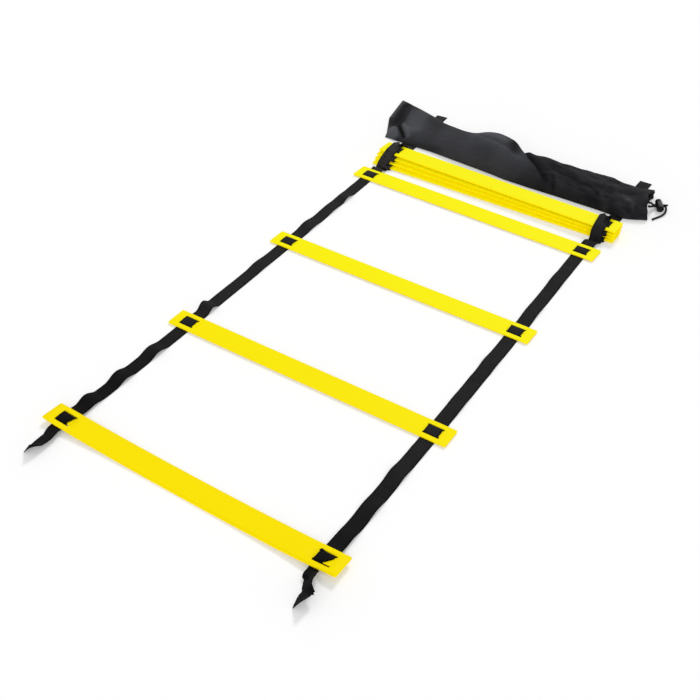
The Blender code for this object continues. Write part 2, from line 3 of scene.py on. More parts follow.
import bmesh
import bpy
from mathutils import Matrix, Vector, noise
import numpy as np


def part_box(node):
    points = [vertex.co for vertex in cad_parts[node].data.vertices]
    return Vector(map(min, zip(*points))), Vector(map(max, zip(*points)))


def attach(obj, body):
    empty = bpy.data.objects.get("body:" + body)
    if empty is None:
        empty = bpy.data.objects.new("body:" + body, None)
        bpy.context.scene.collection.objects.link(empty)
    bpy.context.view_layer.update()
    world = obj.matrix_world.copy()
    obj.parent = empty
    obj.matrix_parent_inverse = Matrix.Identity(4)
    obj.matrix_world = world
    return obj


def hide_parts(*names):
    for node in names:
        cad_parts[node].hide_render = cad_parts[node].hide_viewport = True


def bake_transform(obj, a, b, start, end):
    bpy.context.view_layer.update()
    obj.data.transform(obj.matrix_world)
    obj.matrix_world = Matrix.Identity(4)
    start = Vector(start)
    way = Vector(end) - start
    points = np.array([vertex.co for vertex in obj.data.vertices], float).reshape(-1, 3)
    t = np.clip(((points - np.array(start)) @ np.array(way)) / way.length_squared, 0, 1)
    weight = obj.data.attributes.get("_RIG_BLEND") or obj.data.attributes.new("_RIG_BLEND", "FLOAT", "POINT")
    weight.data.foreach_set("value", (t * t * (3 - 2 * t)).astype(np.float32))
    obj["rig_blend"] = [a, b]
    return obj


# Looks for the laid-out agility ladder: moulded slats, woven webbing, drawstring bag.
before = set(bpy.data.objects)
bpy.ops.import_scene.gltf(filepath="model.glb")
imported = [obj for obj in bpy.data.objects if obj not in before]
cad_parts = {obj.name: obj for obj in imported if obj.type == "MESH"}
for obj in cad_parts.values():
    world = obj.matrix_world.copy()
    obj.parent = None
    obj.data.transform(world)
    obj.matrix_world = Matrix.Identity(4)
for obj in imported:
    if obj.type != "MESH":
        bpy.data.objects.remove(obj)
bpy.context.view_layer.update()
print("frame loaded")

# Camera, floor and light
view = {
    "place": (0.6178, -0.9721, 0.8552),
    "heading": -33.94,  # degrees from +Y towards +X
    "dip": 40.39,  # degrees below level
    "lens": 51.46,
    "sensor": 36.0,
    "clip": (0.05, 60.0),  # nearest and farthest distance drawn
}
studio = {
    "floorSize": 30.0,
    "floorTone": 1.0,
    "floorLift": 0.2,  # share of plain white that only the camera sees
    "skyTone": 0.6,
    "lamps": (  # name, strength, softness in degrees, where from
        ("keyLight", 1.15, 14.0, (-0.2, 1.0, 0.95)),
        ("fillLight", 0.95, 50.0, (0.45, -1.0, 0.62)),
    ),
}


def addObject(name, data):
    made = bpy.data.objects.new(name, data)
    bpy.context.collection.objects.link(made)
    return made


def meshFrom(bm, name):
    mesh = bpy.data.meshes.new(name)
    bm.to_mesh(mesh)
    bm.free()
    return mesh


def makeCamera():
    heading, dip = radians(view["heading"]), radians(view["dip"])
    forward = Vector((sin(heading) * cos(dip), cos(heading) * cos(dip), -sin(dip)))
    camera = addObject("camera", bpy.data.cameras.new("camera"))
    camera.data.sensor_width = view["sensor"]
    camera.data.lens = view["lens"]
    camera.data.clip_start, camera.data.clip_end = view["clip"]
    camera.location = view["place"]
    camera.rotation_euler = forward.to_track_quat("-Z", "Y").to_euler()
    bpy.context.scene.camera = camera


class Wire:  # one shader socket; sums on it add Math nodes
    def __init__(self, tree, socket=None):
        self.tree, self.socket = tree, socket

    def node(self, kind, settings=None, values=None, output=0):
        made = self.tree.nodes.new("ShaderNode" + kind)
        for key, value in (settings or {}).items():
            setattr(made, key, value)
        for key, value in (values or {}).items():
            if isinstance(value, Wire):
                self.tree.links.new(value.socket, made.inputs[key])
            else:
                made.inputs[key].default_value = value
        return Wire(self.tree, made.outputs[output])

    def maths(self, operation, *others):
        return self.node("Math", {"operation": operation}, dict(enumerate((self, *others))))

    def __add__(self, other):
        return self.maths("ADD", other)

    def __sub__(self, other):
        return self.maths("SUBTRACT", other)

    def __mul__(self, other):
        return self.maths("MULTIPLY", other)

    def __rsub__(self, other):
        return self.node("Math", {"operation": "SUBTRACT"}, {0: other, 1: self})

    __radd__ = __add__
    __rmul__ = __mul__

    def clamped(self, low, high):  # runs from 0 at low to 1 at high
        return self.node("MapRange", {"interpolation_type": "SMOOTHSTEP"},
                         {"Value": self, "From Min": low, "From Max": high})

    def mixed(self, first, second):  # colours mixed by this factor
        return self.node("Mix", {"data_type": "RGBA"}, {0: self, 6: first, 7: second}, output=2)


def newLook(name, finish, constants=None):
    material = bpy.data.materials.new(name)
    material.use_nodes = True
    tree = material.node_tree
    shader = tree.nodes["Principled BSDF"]
    values = {"Roughness": finish["roughness"], "Specular IOR Level": finish["specular"], **(constants or {})}
    for key, value in values.items():
        shader.inputs[key].default_value = value
    return material, shader, Wire(tree)


def plug(wire, shader, key):
    wire.tree.links.new(wire.socket, shader.inputs[key])


def bumped(height, distance, strength=1.0, under=None):
    values = {"Height": height, "Distance": distance, "Strength": strength}
    if under is not None:
        values["Normal"] = under
    return height.node("Bump", None, values)


def directlySeen(wire):  # 1 for the camera, mirror-like and clear surfaces
    kinds = ("Is Camera Ray", "Is Glossy Ray", "Is Transmission Ray")
    camera, mirrored, clear = [wire.node("LightPath", output=kind) for kind in kinds]
    return camera.maths("MAXIMUM", mirrored).maths("MAXIMUM", clear)


def makeStudio():
    bm = bmesh.new()
    bmesh.ops.create_grid(bm, x_segments=1, y_segments=1, size=studio["floorSize"] / 2)
    floor = addObject("floor", meshFrom(bm, "floor"))
    material = bpy.data.materials.new("paperFloor")
    material.use_nodes = True
    tree = material.node_tree
    tree.nodes.remove(tree.nodes["Principled BSDF"])
    wire = Wire(tree)
    matt = wire.node("BsdfDiffuse", None, {"Color": (studio["floorTone"],) * 3 + (1.0,)})
    white = wire.node("Emission", None, {"Strength": 1.0})
    seen = directlySeen(wire) * studio["floorLift"]
    mixed = wire.node("MixShader", None, {0: seen, 1: matt, 2: white})
    plug(mixed, tree.nodes["Material Output"], "Surface")
    floor.data.materials.append(material)

    world = bpy.data.worlds.new("studioSky")
    world.use_nodes = True
    bpy.context.scene.world = world
    wire = Wire(world.node_tree)
    strength = directlySeen(wire) * (1.0 - studio["skyTone"]) + studio["skyTone"]
    background = world.node_tree.nodes["Background"]
    background.inputs["Color"].default_value = (1.0, 1.0, 1.0, 1.0)
    plug(strength, background, "Strength")

    for name, energy, softness, origin in studio["lamps"]:
        lamp = addObject(name, bpy.data.lights.new(name, "SUN"))
        lamp.data.energy = energy
        lamp.data.angle = radians(softness)
        lamp.rotation_euler = Vector(origin).to_track_quat("Z", "Y").to_euler()
    bpy.context.scene.view_settings.view_transform = "Standard"


makeCamera()
makeStudio()
print("studio ready")


# Shared making
def between(low, value, high):
    return min(high, max(low, value))


def eased(share):  # from 0 to 1 with a soft start and end
    return share * share * (3 - 2 * share)


def bump(value, middle, reach):  # 1 at its middle, 0 from its reach on
    share = abs(value - middle) / reach
    return cos(share * pi / 2) ** 2 if share < 1 else 0.0


def lengthOf(points):
    return sum((b - a).length for a, b in zip(points, points[1:]))


def curved(before, start, end, after, t):  # smoothly from start to end
    return 0.5 * (2 * start + (end - before) * t
                  + (2 * before - 5 * start + 4 * end - after) * t ** 2
                  + (3 * start - before - 3 * end + after) * t ** 3)


def finishPiece(bm, name, material, body=None, stands=()):
    bmesh.ops.recalc_face_normals(bm, faces=bm.faces[:])
    mesh = meshFrom(bm, name)
    mesh.shade_smooth()
    mesh.materials.append(material)
    piece = addObject(name, mesh)
    if body:
        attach(piece, body)
    if stands:
        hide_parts(*stands)
    return piece


def smoothRoute(points, spacing):  # an even curve through the points
    points = [Vector(point) for point in points]
    padded = [points[0] * 2 - points[1]] + points + [points[-1] * 2 - points[-2]]
    route = []
    for before, start, end, after in zip(padded, padded[1:], padded[2:], padded[3:]):
        steps = max(1, round((end - start).length / spacing))
        route += [curved(before, start, end, after, step / steps) for step in range(steps)]
    return route + [points[-1]]


def roundedRoute(corners, spacing):  # straight runs and arcs; corners are (y, z, radius)
    spots = [Vector(corner[:2]) for corner in corners]
    route = [spots[0]]
    for before, middle, after, (*_, radius) in zip(spots, spots[1:], spots[2:], corners[1:]):
        entering, leaving = (middle - before).normalized(), (after - middle).normalized()
        turn = atan2(entering.x * leaving.y - entering.y * leaving.x, entering.dot(leaving))
        if abs(turn) < 0.02:  # as good as straight
            route.append(middle)
            continue
        first = middle - entering * radius * tan(abs(turn) / 2)
        side = copysign(1.0, turn)
        centre = first + Vector((-entering.y, entering.x)) * radius * side
        steps = max(3, round(radius * abs(turn) / spacing * 3))  # closer in the bends
        for step in range(steps + 1):
            route.append(centre + Matrix.Rotation(turn * step / steps, 2) @ (first - centre))
    return route + [spots[-1]]


def standing(across, along, point, width=1.0):
    place = Matrix((across * width, along, across.cross(along))).transposed().to_4x4()
    place.translation = point
    return place


def placeStations(route):  # the route's points come with tilt and width share
    stations = []
    for index, (point, tilt, width) in enumerate(route):
        before, after = route[max(index - 1, 0)][0], route[min(index + 1, len(route) - 1)][0]
        along = (after - before).normalized()
        across = (Vector((1, 0, 0)) - along * along.x).normalized()
        stations.append(standing(Matrix.Rotation(tilt, 3, along) @ across, along, point, width))
    return stations


def grow(bm, edges):  # draws new edges out of open ones
    grown = bmesh.ops.extrude_edge_only(bm, edges=edges)["geom"]
    verts = [item for item in grown if isinstance(item, bmesh.types.BMVert)]
    fresh = set(verts)
    edges = [item for item in grown if isinstance(item, bmesh.types.BMEdge) and set(item.verts) <= fresh]
    return verts, edges


def sweepRing(ring, stations):  # pushes a closed ring of points along the stations
    bm = bmesh.new()
    along = bm.verts.layers.float.new("along")
    across = bm.verts.layers.float.new("across")
    start = []
    for point in ring:
        vertex = bm.verts.new(stations[0] @ Vector(point))
        vertex[across] = point[0]
        start.append(vertex)
    edges = [bm.edges.new((start[index - 1], start[index])) for index in range(len(start))]
    ends = [edges]
    travelled = 0.0
    for before, after in zip(stations, stations[1:]):
        verts, edges = grow(bm, edges)
        bmesh.ops.transform(bm, matrix=after @ before.inverted(), verts=verts)
        travelled += (after.translation - before.translation).length
        for vertex in verts:
            vertex[along] = travelled
    ends.append(edges)
    for end in ends:
        bmesh.ops.contextual_create(bm, geom=end)
    for vertex in bm.verts:
        vertex.co.z = max(vertex.co.z, 0.0)  # nothing sinks into the floor
    return bm


# Finishes
plastic = {
    "far": (0.955, 0.885, 0.001, 1.0),
    "near": (0.965, 0.77, 0.0, 1.0),
    "nearEnd": -0.42,  # along Y
    "toneRun": 1.6,  # share of the change for each metre
    "side": (0.97, 0.72, 0.0, 1.0),  # painted shade: side faces are shown deeper orange than the tops
    "levelness": (0.3, 0.9),  # from a side to a top
    "paintedEdgeGlow": (1.0, 0.7, 0.0),  # painted glow on the side faces, standing in for light carried inside the slat
    "glow": 0.16,
    "paintedStackGlow": 0.108,  # painted glow on the slats in the stack, standing in for the light they bounce between each other
    "paintedStackTopGlow": (1.0, 0.73, 0.0),
    "specular": 0.03,
    "roughness": 0.46,
    "scuffed": 0.18,  # roughness that scuffs add
    "scuffs": (40, 900, 900),
    "scuffTurn": 0.1,
    "flow": (9, 60, 60),
    "grain": 0.00004,
    "grainScale": 1400,
}
webbing = {
    "yarn": 0.00125,  # width of one warp yarn
    "pick": 0.0017,  # length of one stitch
    "relief": 0.00022,
    # dark is painted shade between the yarns
    "dark": (0.002, 0.002, 0.0022, 1.0),
    "light": (0.0105, 0.0105, 0.011, 1.0),
    "greyerTone": (0.04, 0.04, 0.0412, 1.0),  # greyer towards the stack and a little towards the right
    "greyerToneRun": (-0.44, -0.16),  # along Y
    "rubbed": (0.08, 0.075, 0.072, 1.0),  # palest grey where it is folded on the left
    "palestRun": (0.235, 0.265),  # along Y
    "palestSide": (-0.12, 0.0),  # along X
    "selvedge": (0.0068, 0.0094),  # the edges are woven closer and darker
    "selvedgeShade": 0.65,
    "dustScale": 55,
    "fuzzScale": 2600,
    "specular": 0.04,
    "roughness": 0.62,
}
cloth = {
    "thread": 0.00045,
    "relief": 0.00005,
    # dark and light are the ends of the painted light, from painted shade to painted highlight
    "dark": (0.0022, 0.0022, 0.003, 1.0),
    "light": (0.062, 0.0635, 0.073, 1.0),
    "creases": (30, 80, 60),
    "creaseTurn": 0.35,
    "creaseDepth": 0.0012,
    # painted highlight along the crease crests
    "creaseHighlight": 0.03,
    "mouthCreaseHighlight": 0.055,  # painted highlight that the crease crests gain towards the mouth
    "mouthRun": (0.05, 0.11),  # along X
    "mottleScale": 38,
    "specular": 0.07,
    "roughness": 0.6,
}
cord = {
    "strand": 0.0016,
    "strands": 4.0,
    "relief": 0.00025,
    "dark": (0.004, 0.004, 0.005, 1.0),
    "light": (0.018, 0.018, 0.02, 1.0),
    "specular": 0.08,
    "roughness": 0.7,
}
lock = {
    "tone": (0.006, 0.006, 0.007, 1.0),
    "grain": 0.00005,
    "grainScale": 1800,
    "wearScale": 240,
    "specular": 0.22,
    "roughness": 0.34,
}
steel = {"tone": (0.55, 0.56, 0.57, 1.0), "drawnScale": 900, "specular": 0.5, "roughness": 0.3}


def placeOn(wire):
    return wire.node("TexCoord", output="Object")


def axisOf(vector, axis):
    return vector.node("SeparateXYZ", None, {0: vector}, axis)


def carried(wire, name):  # a value that the points of the mesh carry
    return wire.node("Attribute", {"attribute_name": name}, None, 2)


def noiseOn(place, scale, detail):
    return place.node("TexNoise", None, {"Vector": place, "Scale": scale, "Detail": detail})


def drawnOut(place, scale, turn=0.0):
    return place.node("Mapping", None, {"Vector": place, "Rotation": (0, 0, turn), "Scale": scale})


def makePlasticLook(name, glow, paintedTopGlow):
    material, shader, wire = newLook(name, plastic, {"Emission Strength": glow})
    place = placeOn(wire)
    flow = noiseOn(drawnOut(place, plastic["flow"]), 1.0, 3.0)
    # the slats run from deeper orange at the near end to paler yellow at the far end
    nearToFar = (axisOf(place, "Y") + flow * 0.1 - plastic["nearEnd"]) * plastic["toneRun"]
    top = nearToFar.clamped(0.0, 1.0).mixed(plastic["near"], plastic["far"])
    # painted shade by facing: side faces take the deeper side colour, tops the top colour
    facing = axisOf(wire.node("TexCoord", output="Normal"), "Z")
    level = facing.maths("ABSOLUTE").clamped(*plastic["levelness"])
    plug(level.mixed(plastic["side"], top), shader, "Base Color")
    # painted glow: side faces glow in the edge colour, tops in the top colour
    plug(level.mixed((*plastic["paintedEdgeGlow"], 1.0), (*paintedTopGlow, 1.0)), shader, "Emission Color")
    scuffs = noiseOn(drawnOut(place, plastic["scuffs"], plastic["scuffTurn"]), 1.0, 2.0)
    rubbed = scuffs.clamped(0.62, 0.75) * flow.clamped(0.4, 0.7)
    plug(rubbed * plastic["scuffed"] + plastic["roughness"] + flow * 0.06, shader, "Roughness")
    grain = noiseOn(place, plastic["grainScale"], 2.0)
    plug(bumped(grain, plastic["grain"], 0.6), shader, "Normal")
    return material


def makeWebbingLook():
    material, shader, wire = newLook("blackWebbing", webbing)
    along, across = carried(wire, "along"), carried(wire, "across")
    column = across * (1.0 / webbing["yarn"])
    odd = (column * 0.5).maths("FLOOR") * 2.0
    half = column.maths("FLOOR") - odd  # 0 or 1 by turns
    stitch = along * (1.0 / webbing["pick"]) + half * 0.5
    rib = (column.maths("FRACT") * pi).maths("SINE")
    bead = (stitch.maths("FRACT") * pi).maths("SINE")
    weave = rib * (bead * 0.7 + 0.3)
    place = placeOn(wire)
    dust = noiseOn(place, webbing["dustScale"], 4.0)
    fuzz = noiseOn(place, webbing["fuzzScale"], 2.0)
    selvedge = across.maths("ABSOLUTE").clamped(*webbing["selvedge"])
    # painted shade in the gaps between the yarns, with the yarn crests lighter
    shade = weave.clamped(0.1, 1.0) * (dust * 0.7 + 0.35) + fuzz * 0.12
    sideways, lengthwise = axisOf(place, "X"), axisOf(place, "Y")
    greyer = (lengthwise + sideways * 0.2).clamped(*webbing["greyerToneRun"])
    greyest = lengthwise.clamped(*webbing["palestRun"]) * (1 - sideways.clamped(*webbing["palestSide"]))
    crests = greyest.mixed(greyer.mixed(webbing["light"], webbing["greyerTone"]), webbing["rubbed"])
    shaded = shade * (1 - selvedge * webbing["selvedgeShade"])
    plug(shaded.mixed(webbing["dark"], crests), shader, "Base Color")
    plug(0.78 - weave * 0.22 + dust * 0.08, shader, "Roughness")
    plug(bumped(weave + fuzz * 0.25, webbing["relief"], 0.9), shader, "Normal")
    return material


def makeClothLook():
    material, shader, wire = newLook("bagCloth", cloth)
    place = placeOn(wire)
    crest, paintedLightAndGloss = carried(wire, "crest"), carried(wire, "paintedLightAndGloss")
    x, y, z = [axisOf(place, axis) for axis in "XYZ"]
    turns = pi / cloth["thread"]
    weave = (x * turns).maths("SINE") * ((y + z) * turns).maths("SINE")
    creases = wire.node("TexNoise", {"noise_type": "RIDGED_MULTIFRACTAL"},
                        {"Vector": drawnOut(place, cloth["creases"], cloth["creaseTurn"]),
                         "Scale": 1.0, "Detail": 4.0, "Roughness": 0.5})
    mottle = noiseOn(place, cloth["mottleScale"], 5.0)
    creaseHighlightGain = x.clamped(*cloth["mouthRun"]) * cloth["mouthCreaseHighlight"] + cloth["creaseHighlight"]
    # painted light: fold crests, smooth patches and crease crests lighter, valleys and dull patches darker; mottle
    # is the cloth's own tone, the weave adds faint painted shade between threads
    paintedLightWithMottle = paintedLightAndGloss * (crest * 0.75 + mottle * 0.5 + 0.57) + weave * 0.02 + creases * creaseHighlightGain
    plug(paintedLightWithMottle.mixed(cloth["dark"], cloth["light"]), shader, "Base Color")
    plug(mottle * 0.1 + 0.74 - paintedLightAndGloss * 0.16, shader, "Roughness")
    soft = bumped(creases, cloth["creaseDepth"], 0.5)
    plug(bumped(weave, cloth["relief"], 0.6, soft), shader, "Normal")
    return material


def makeCordLook():
    material, shader, wire = newLook("braidedCord", cord)
    strand = carried(wire, "along") * (pi / cord["strand"])
    turn = carried(wire, "turn") * cord["strands"]
    left = (strand + turn).maths("SINE").maths("ABSOLUTE")
    right = (strand - turn).maths("SINE").maths("ABSOLUTE")
    braid = left.maths("MAXIMUM", right) * left.maths("MINIMUM", right)
    # painted shade in the grooves between strands, with the strand crests lighter
    plug(braid.mixed(cord["dark"], cord["light"]), shader, "Base Color")
    plug(0.8 - braid * 0.2, shader, "Roughness")
    plug(bumped(braid, cord["relief"]), shader, "Normal")
    return material


def makeLockLook():
    material, shader, wire = newLook("lockPlastic", lock, {"Base Color": lock["tone"]})
    place = placeOn(wire)
    wear = noiseOn(place, lock["wearScale"], 3.0)
    plug(wear.clamped(0.35, 0.75) * 0.2 + 0.28, shader, "Roughness")
    plug(bumped(noiseOn(place, lock["grainScale"], 2.0), lock["grain"], 0.5), shader, "Normal")
    return material


def makeSteelLook():
    material, shader, wire = newLook("springSteel", steel, {"Base Color": steel["tone"], "Metallic": 1.0})
    drawn = noiseOn(placeOn(wire), steel["drawnScale"], 2.0)
    plug(drawn * 0.2 + 0.2, shader, "Roughness")
    return material


looks = {
    "slat": makePlasticLook("yellowPlastic", plastic["glow"], (0.0, 0.0, 0.0)),
    "stacked": makePlasticLook("stackedPlasticPaintedGlow", plastic["paintedStackGlow"], plastic["paintedStackTopGlow"]),
    "webbing": makeWebbingLook(),
    "cloth": makeClothLook(),
    "cord": makeCordLook(),
    "lock": makeLockLook(),
    "steel": makeSteelLook(),
}
for name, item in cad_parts.items():
    kind = "slat" if name.startswith("rung") else "steel" if name.endswith("spring") else "lock"
    # the slats in the stack glow all over with painted light
    if name in ("rung_6", "rung_7", "rung_8"):
        kind = "stacked"
    item.data.materials.clear()
    item.data.materials.append(looks[kind])
print("finishes ready")

# Webbing and the slats it runs through
slats = {
    "yaw": {1: 0.4, 2: 0.7, 3: -0.2, 4: -1.4},
    "strapCentre": 0.1905,
    "underLevel": -0.0008,
    "seamReach": 0.012,
    "creases": {1: -0.32324, 2: -0.09564, 3: 0.13196},  # where the bays fold
    "creaseReach": 0.0075,
    "bowLow": -0.0012,  # the first rung is bowed and its ends stand up
    "bowHigh": 0.0052,
    "halfLength": 0.215,
    "halfWidth": 0.016,
    "endStart": 0.12,  # from here out the ends turn up further
    "endLift": {"left": (0.001, 0.001), "right": (0.0023, 0.0011)},  # lift, and twist of the near edge
    "bowCuts": 26,
    "weld": 0.00001,
    "sharpAngle": 25,
}
ribbon = {
    "width": 0.02,
    "thickness": 0.001,
    "cuts": 10,
    "selvedge": 0.0013,
    "rounding": 0.0001,
    "edgeShare": 0.75,  # thickness left at the rounding
    "weaveStep": 0.0008,  # distances between rings
    "bayStep": 0.0025,
    "tailStep": 0.0018,
    "riseStep": 0.0015,
    "foldStep": 0.0012,
}
weaving = {  # up a slot, over the bar and down again; distances from the bar's middle
    "slot": (0.0083, 0.001),  # distance, radius
    "shoulder": (0.0066, 0.003, 0.0014),  # distance, height, radius
    "crown": (0.0033, 0.02),  # height, radius
    "filling": 1.12,  # in the slots the webbing spreads
    "fillHeight": 0.0024,
    "fillReach": 0.0095,
    "pinch": {"left": 0.14, "right": 0.44},  # how much narrower the first rung presses it
    "pinchStart": 0.005,
    "pinchRun": 0.011,
}
flutter = {  # small unevenness in the bays
    "ripples": 40,  # for each metre
    "seeds": (3.1, 5.7),  # for the side and the bay
    "shift": 0.0004,
    "tilt": 0.02,
    "fadeSteps": 5,  # rings over which all this dies away at the rungs
    "settled": 0.35,  # share of the first bay that its rung's bow lifts
}
# Where each bay's webbing arches off the floor: y, height and reach in millimetres, tilt in degrees
waves = {
    ("left", 1): ((-402, 1.4, 18, -14), (-347, 4.2, 21, -5), (-286, 4, 22, 3)),
    ("left", 2): ((-174.5, 5.8, 15, -6), (-54, 0.9, 28, -4)),
    ("left", 3): ((72, 1.9, 27, -4), (128, 1, 30, 4), (168, 0.8, 20, 12)),
    ("right", 1): ((-398, 1, 16, 3), (-352, 2.2, 26, 4), (-292, 2.6, 26, -3), (-246, 0.8, 12, 0)),
    ("right", 2): ((-150, 0.8, 40, 2), (-60, 1.2, 30, -2)),
    ("right", 3): ((70, 1.2, 30, 3), (150, 1, 30, -3)),
}


def ribbonRing():  # a flat band with softly rounded selvedges
    half, thick = ribbon["width"] / 2, ribbon["thickness"] / 2
    inner = half - ribbon["selvedge"] / 2
    top = [(inner * (2 * step / ribbon["cuts"] - 1), thick) for step in range(ribbon["cuts"] + 1)]
    rounded, thin = half - ribbon["rounding"], thick * ribbon["edgeShare"]
    edge = [(rounded, thin), (half, 0.0), (rounded, -thin)]
    ring = top + edge + [(x, -z) for x, z in reversed(top)] + [(-x, -z) for x, z in edge]
    return [(x, 0.0, z) for x, z in ring]


def rungPlace(number):
    low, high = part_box(f"rung_{number}")
    place = Matrix.Translation(((low.x + high.x) / 2, (low.y + high.y) / 2, low.z))
    return place @ Matrix.Rotation(radians(slats["yaw"][number]), 4, "Z")


def bowAt(number, along, y=0.0):
    if number != 1:
        return 0.0
    lift, twist = slats["endLift"]["right" if along > 0 else "left"]
    share = max(0.0, (abs(along) - slats["endStart"]) / (slats["halfLength"] - slats["endStart"])) ** 2
    ends = share * (lift - twist * y / slats["halfWidth"])
    return slats["bowLow"] + slats["bowHigh"] * (along / slats["halfLength"]) ** 2 + ends


def bowTilt(number, side):  # how far a bowed rung tips the webbing sideways
    return 2 * slats["bowHigh"] * side * slats["strapCentre"] / slats["halfLength"] ** 2 if number == 1 else 0.0


def seamAt(number, side, way):  # where a rung's weave meets the bay behind (1) or before it (-1)
    return rungPlace(number) @ Vector((side * slats["strapCentre"], way * slats["seamReach"], slats["underLevel"]))


def makeBowedRung():
    bm = bmesh.new()
    bm.from_mesh(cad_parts["rung_1"].data)
    bmesh.ops.remove_doubles(bm, verts=bm.verts[:], dist=slats["weld"])
    place = rungPlace(1)
    across = place.to_3x3() @ Vector((1, 0, 0))
    for cut in range(1, slats["bowCuts"]):
        along = slats["halfLength"] * (2 * cut / slats["bowCuts"] - 1)
        bmesh.ops.bisect_plane(bm, geom=bm.verts[:] + bm.edges[:] + bm.faces[:], dist=slats["weld"],
                               plane_co=place @ Vector((along, 0, 0)), plane_no=across)
    back = place.inverted()
    for vertex in bm.verts:
        local = back @ vertex.co
        vertex.co.z += bowAt(1, local.x, local.y)
    piece = finishPiece(bm, "rung_1_bowed", looks["slat"], "rung_1", ("rung_1",))
    piece.data.set_sharp_from_angle(angle=radians(slats["sharpAngle"]))


def weaveRoute(number, side, pinch=0.0):  # over the bar between a rung's two slots
    under, reach = slats["underLevel"], slats["seamReach"]
    (slot, tight), (shoulder, high, bend), (crown, wide) = weaving["slot"], weaving["shoulder"], weaving["crown"]
    corners = [(-reach, under, 0), (-slot, under, tight), (-shoulder, high, bend), (0.0, crown, wide),
               (shoulder, high, bend), (slot, under, tight), (reach, under, 0)]
    place = rungPlace(number)
    route = []
    for y, z in roundedRoute(corners, ribbon["weaveStep"]):
        narrow = pinch * between(0.0, (weaving["pinchStart"] - y) / weaving["pinchRun"], 1.0)
        along = side * slats["strapCentre"] - narrow * ribbon["width"] / 2
        point = place @ Vector((along, y, z + bowAt(number, along, y)))
        inSlot = z < weaving["fillHeight"] and abs(y) < weaving["fillReach"]
        route.append((point, -bowTilt(number, side), (weaving["filling"] if inSlot else 1.0) - narrow))
    return route


def bayRoute(number, sideName, side):
    start, end = seamAt(number, side, 1), seamAt(number + 1, side, -1)
    sideSeed, baySeed = flutter["seeds"]
    route = []
    steps = round((end - start).length / ribbon["bayStep"])
    for step in range(steps + 1):
        point = start.lerp(end, step / steps)
        fade = min(1.0, step / flutter["fadeSteps"], (steps - step) / flutter["fadeSteps"])
        settling = max(0.0, 1 - step / steps / flutter["settled"]) ** 2
        point.z += bowAt(number, slats["strapCentre"]) * settling
        tilt = bowTilt(number, side) * settling
        for middle, height, reach, angle in waves[(sideName, number)]:
            share = bump(point.y * 1000, middle, reach) * fade
            point.z += height * share / 1000
            tilt += radians(angle) * share
        uneven = noise.noise(Vector((side * sideSeed, point.y * flutter["ripples"], number * baySeed))) * fade
        point.x += flutter["shift"] * uneven
        tilt += flutter["tilt"] * uneven
        point.z += abs(sin(tilt)) * ribbon["width"] / 2
        route.append((point, -tilt, 1.0))
    return route


# Loose near ends, outwards: x, y and height of the low edge in millimetres, twist in degrees, width share
tails = {
    "left": (
        (-163.2, -458, 3.6, 4, 0.92), (-164, -462.5, 2.4, 11, 1), (-163.2, -466.5, 1.2, 16, 1),
        (-161.4, -471.5, 0.6, 19, 1), (-161.2, -478.2, 0.6, 17, 1), (-161, -485, 0.6, 18, 1),
        (-160.5, -493.4, 0.6, 23, 1), (-159.2, -499, 0.6, 36, 1), (-158.2, -503.5, 0.6, 50, 1),
        (-157.6, -505.8, 0.6, 56, 1)),
    "right": (
        (218.6, -458, 4, 8, 0.62), (218.4, -462.5, 2.8, 24, 0.8), (220.5, -466, 1.6, 40, 1),
        (223.6, -470.5, 0.6, 50, 1), (225.7, -475.4, 0.6, 55, 1), (227, -480, 0.6, 50, 1),
        (228.8, -485, 0.6, 36, 1), (230.4, -491.5, 0.6, 40, 1), (232.2, -498.5, 0.6, 50, 1),
        (233.8, -504, 0.6, 60, 1)),
}
torn = {  # threads that stand out of the right tail's edge
    "from": -0.4895,  # along Y
    "to": -0.4795,
    "beyond": 0.238,  # along X
    "edge": 0.0095,  # from the webbing's middle
    "pull": (0.0022, -0.0012, 0.0004),
}


def tailRoute(sideName, side, start, width):  # from the loose end in to the first rung
    points, turns = [], []
    for x, y, z, twist, share in tails[sideName][::-1]:
        turn, half = radians(twist), share * ribbon["width"] / 2
        points.append(Vector((x / 1000 + half * cos(turn), y / 1000, z / 1000 + half * sin(turn))))
        turns.append(Vector((turn, share)))
    points.append(start)
    turns.append(Vector((bowTilt(1, side), width)))
    run = smoothRoute(points, ribbon["tailStep"])
    route = []
    for index, (low, high) in enumerate(zip(turns, turns[1:])):
        steps = max(1, round((points[index + 1] - points[index]).length / ribbon["tailStep"]))
        for step in range(steps):
            turn, width = low.lerp(high, eased(step / steps))
            route.append((run[len(route)], -turn, width))
    return route


